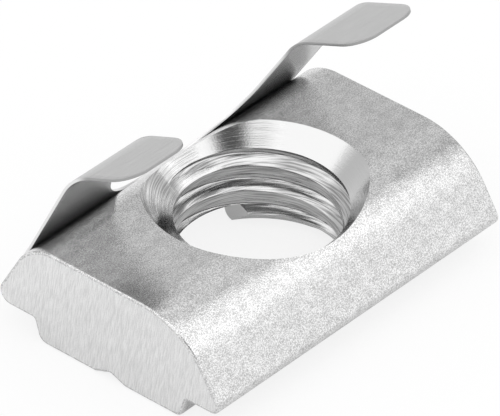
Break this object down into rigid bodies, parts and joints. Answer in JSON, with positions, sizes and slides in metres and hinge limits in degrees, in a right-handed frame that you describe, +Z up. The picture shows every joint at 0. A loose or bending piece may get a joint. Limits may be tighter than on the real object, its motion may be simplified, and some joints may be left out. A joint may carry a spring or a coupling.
{
  "type": "t-slot nut",
  "caption": "Swivel-in T-slot nut: a tapped steel bar nut with a collar for the slot and a bent leaf spring that holds it in place.",
  "frame": {"origin": "on the tapped hole's axis at the collar face, the face that the nut lies on", "axes": "+X along the bar, the nut's length; +Y towards the flank that carries the leaf spring; +Z up through the hole, away from the collar face"},
  "size_m": [0.017, 0.0116, 0.0103],
  "materials": {
    "zinc_plated_steel": "satin zinc plate with a fine grain",
    "spring_steel": "smooth rolled stainless sheet"
  },
  "bodies": {
    "root": {"nut_body": "zinc_plated_steel", "leaf_spring": "spring_steel"}
  },
  "joints": []
}
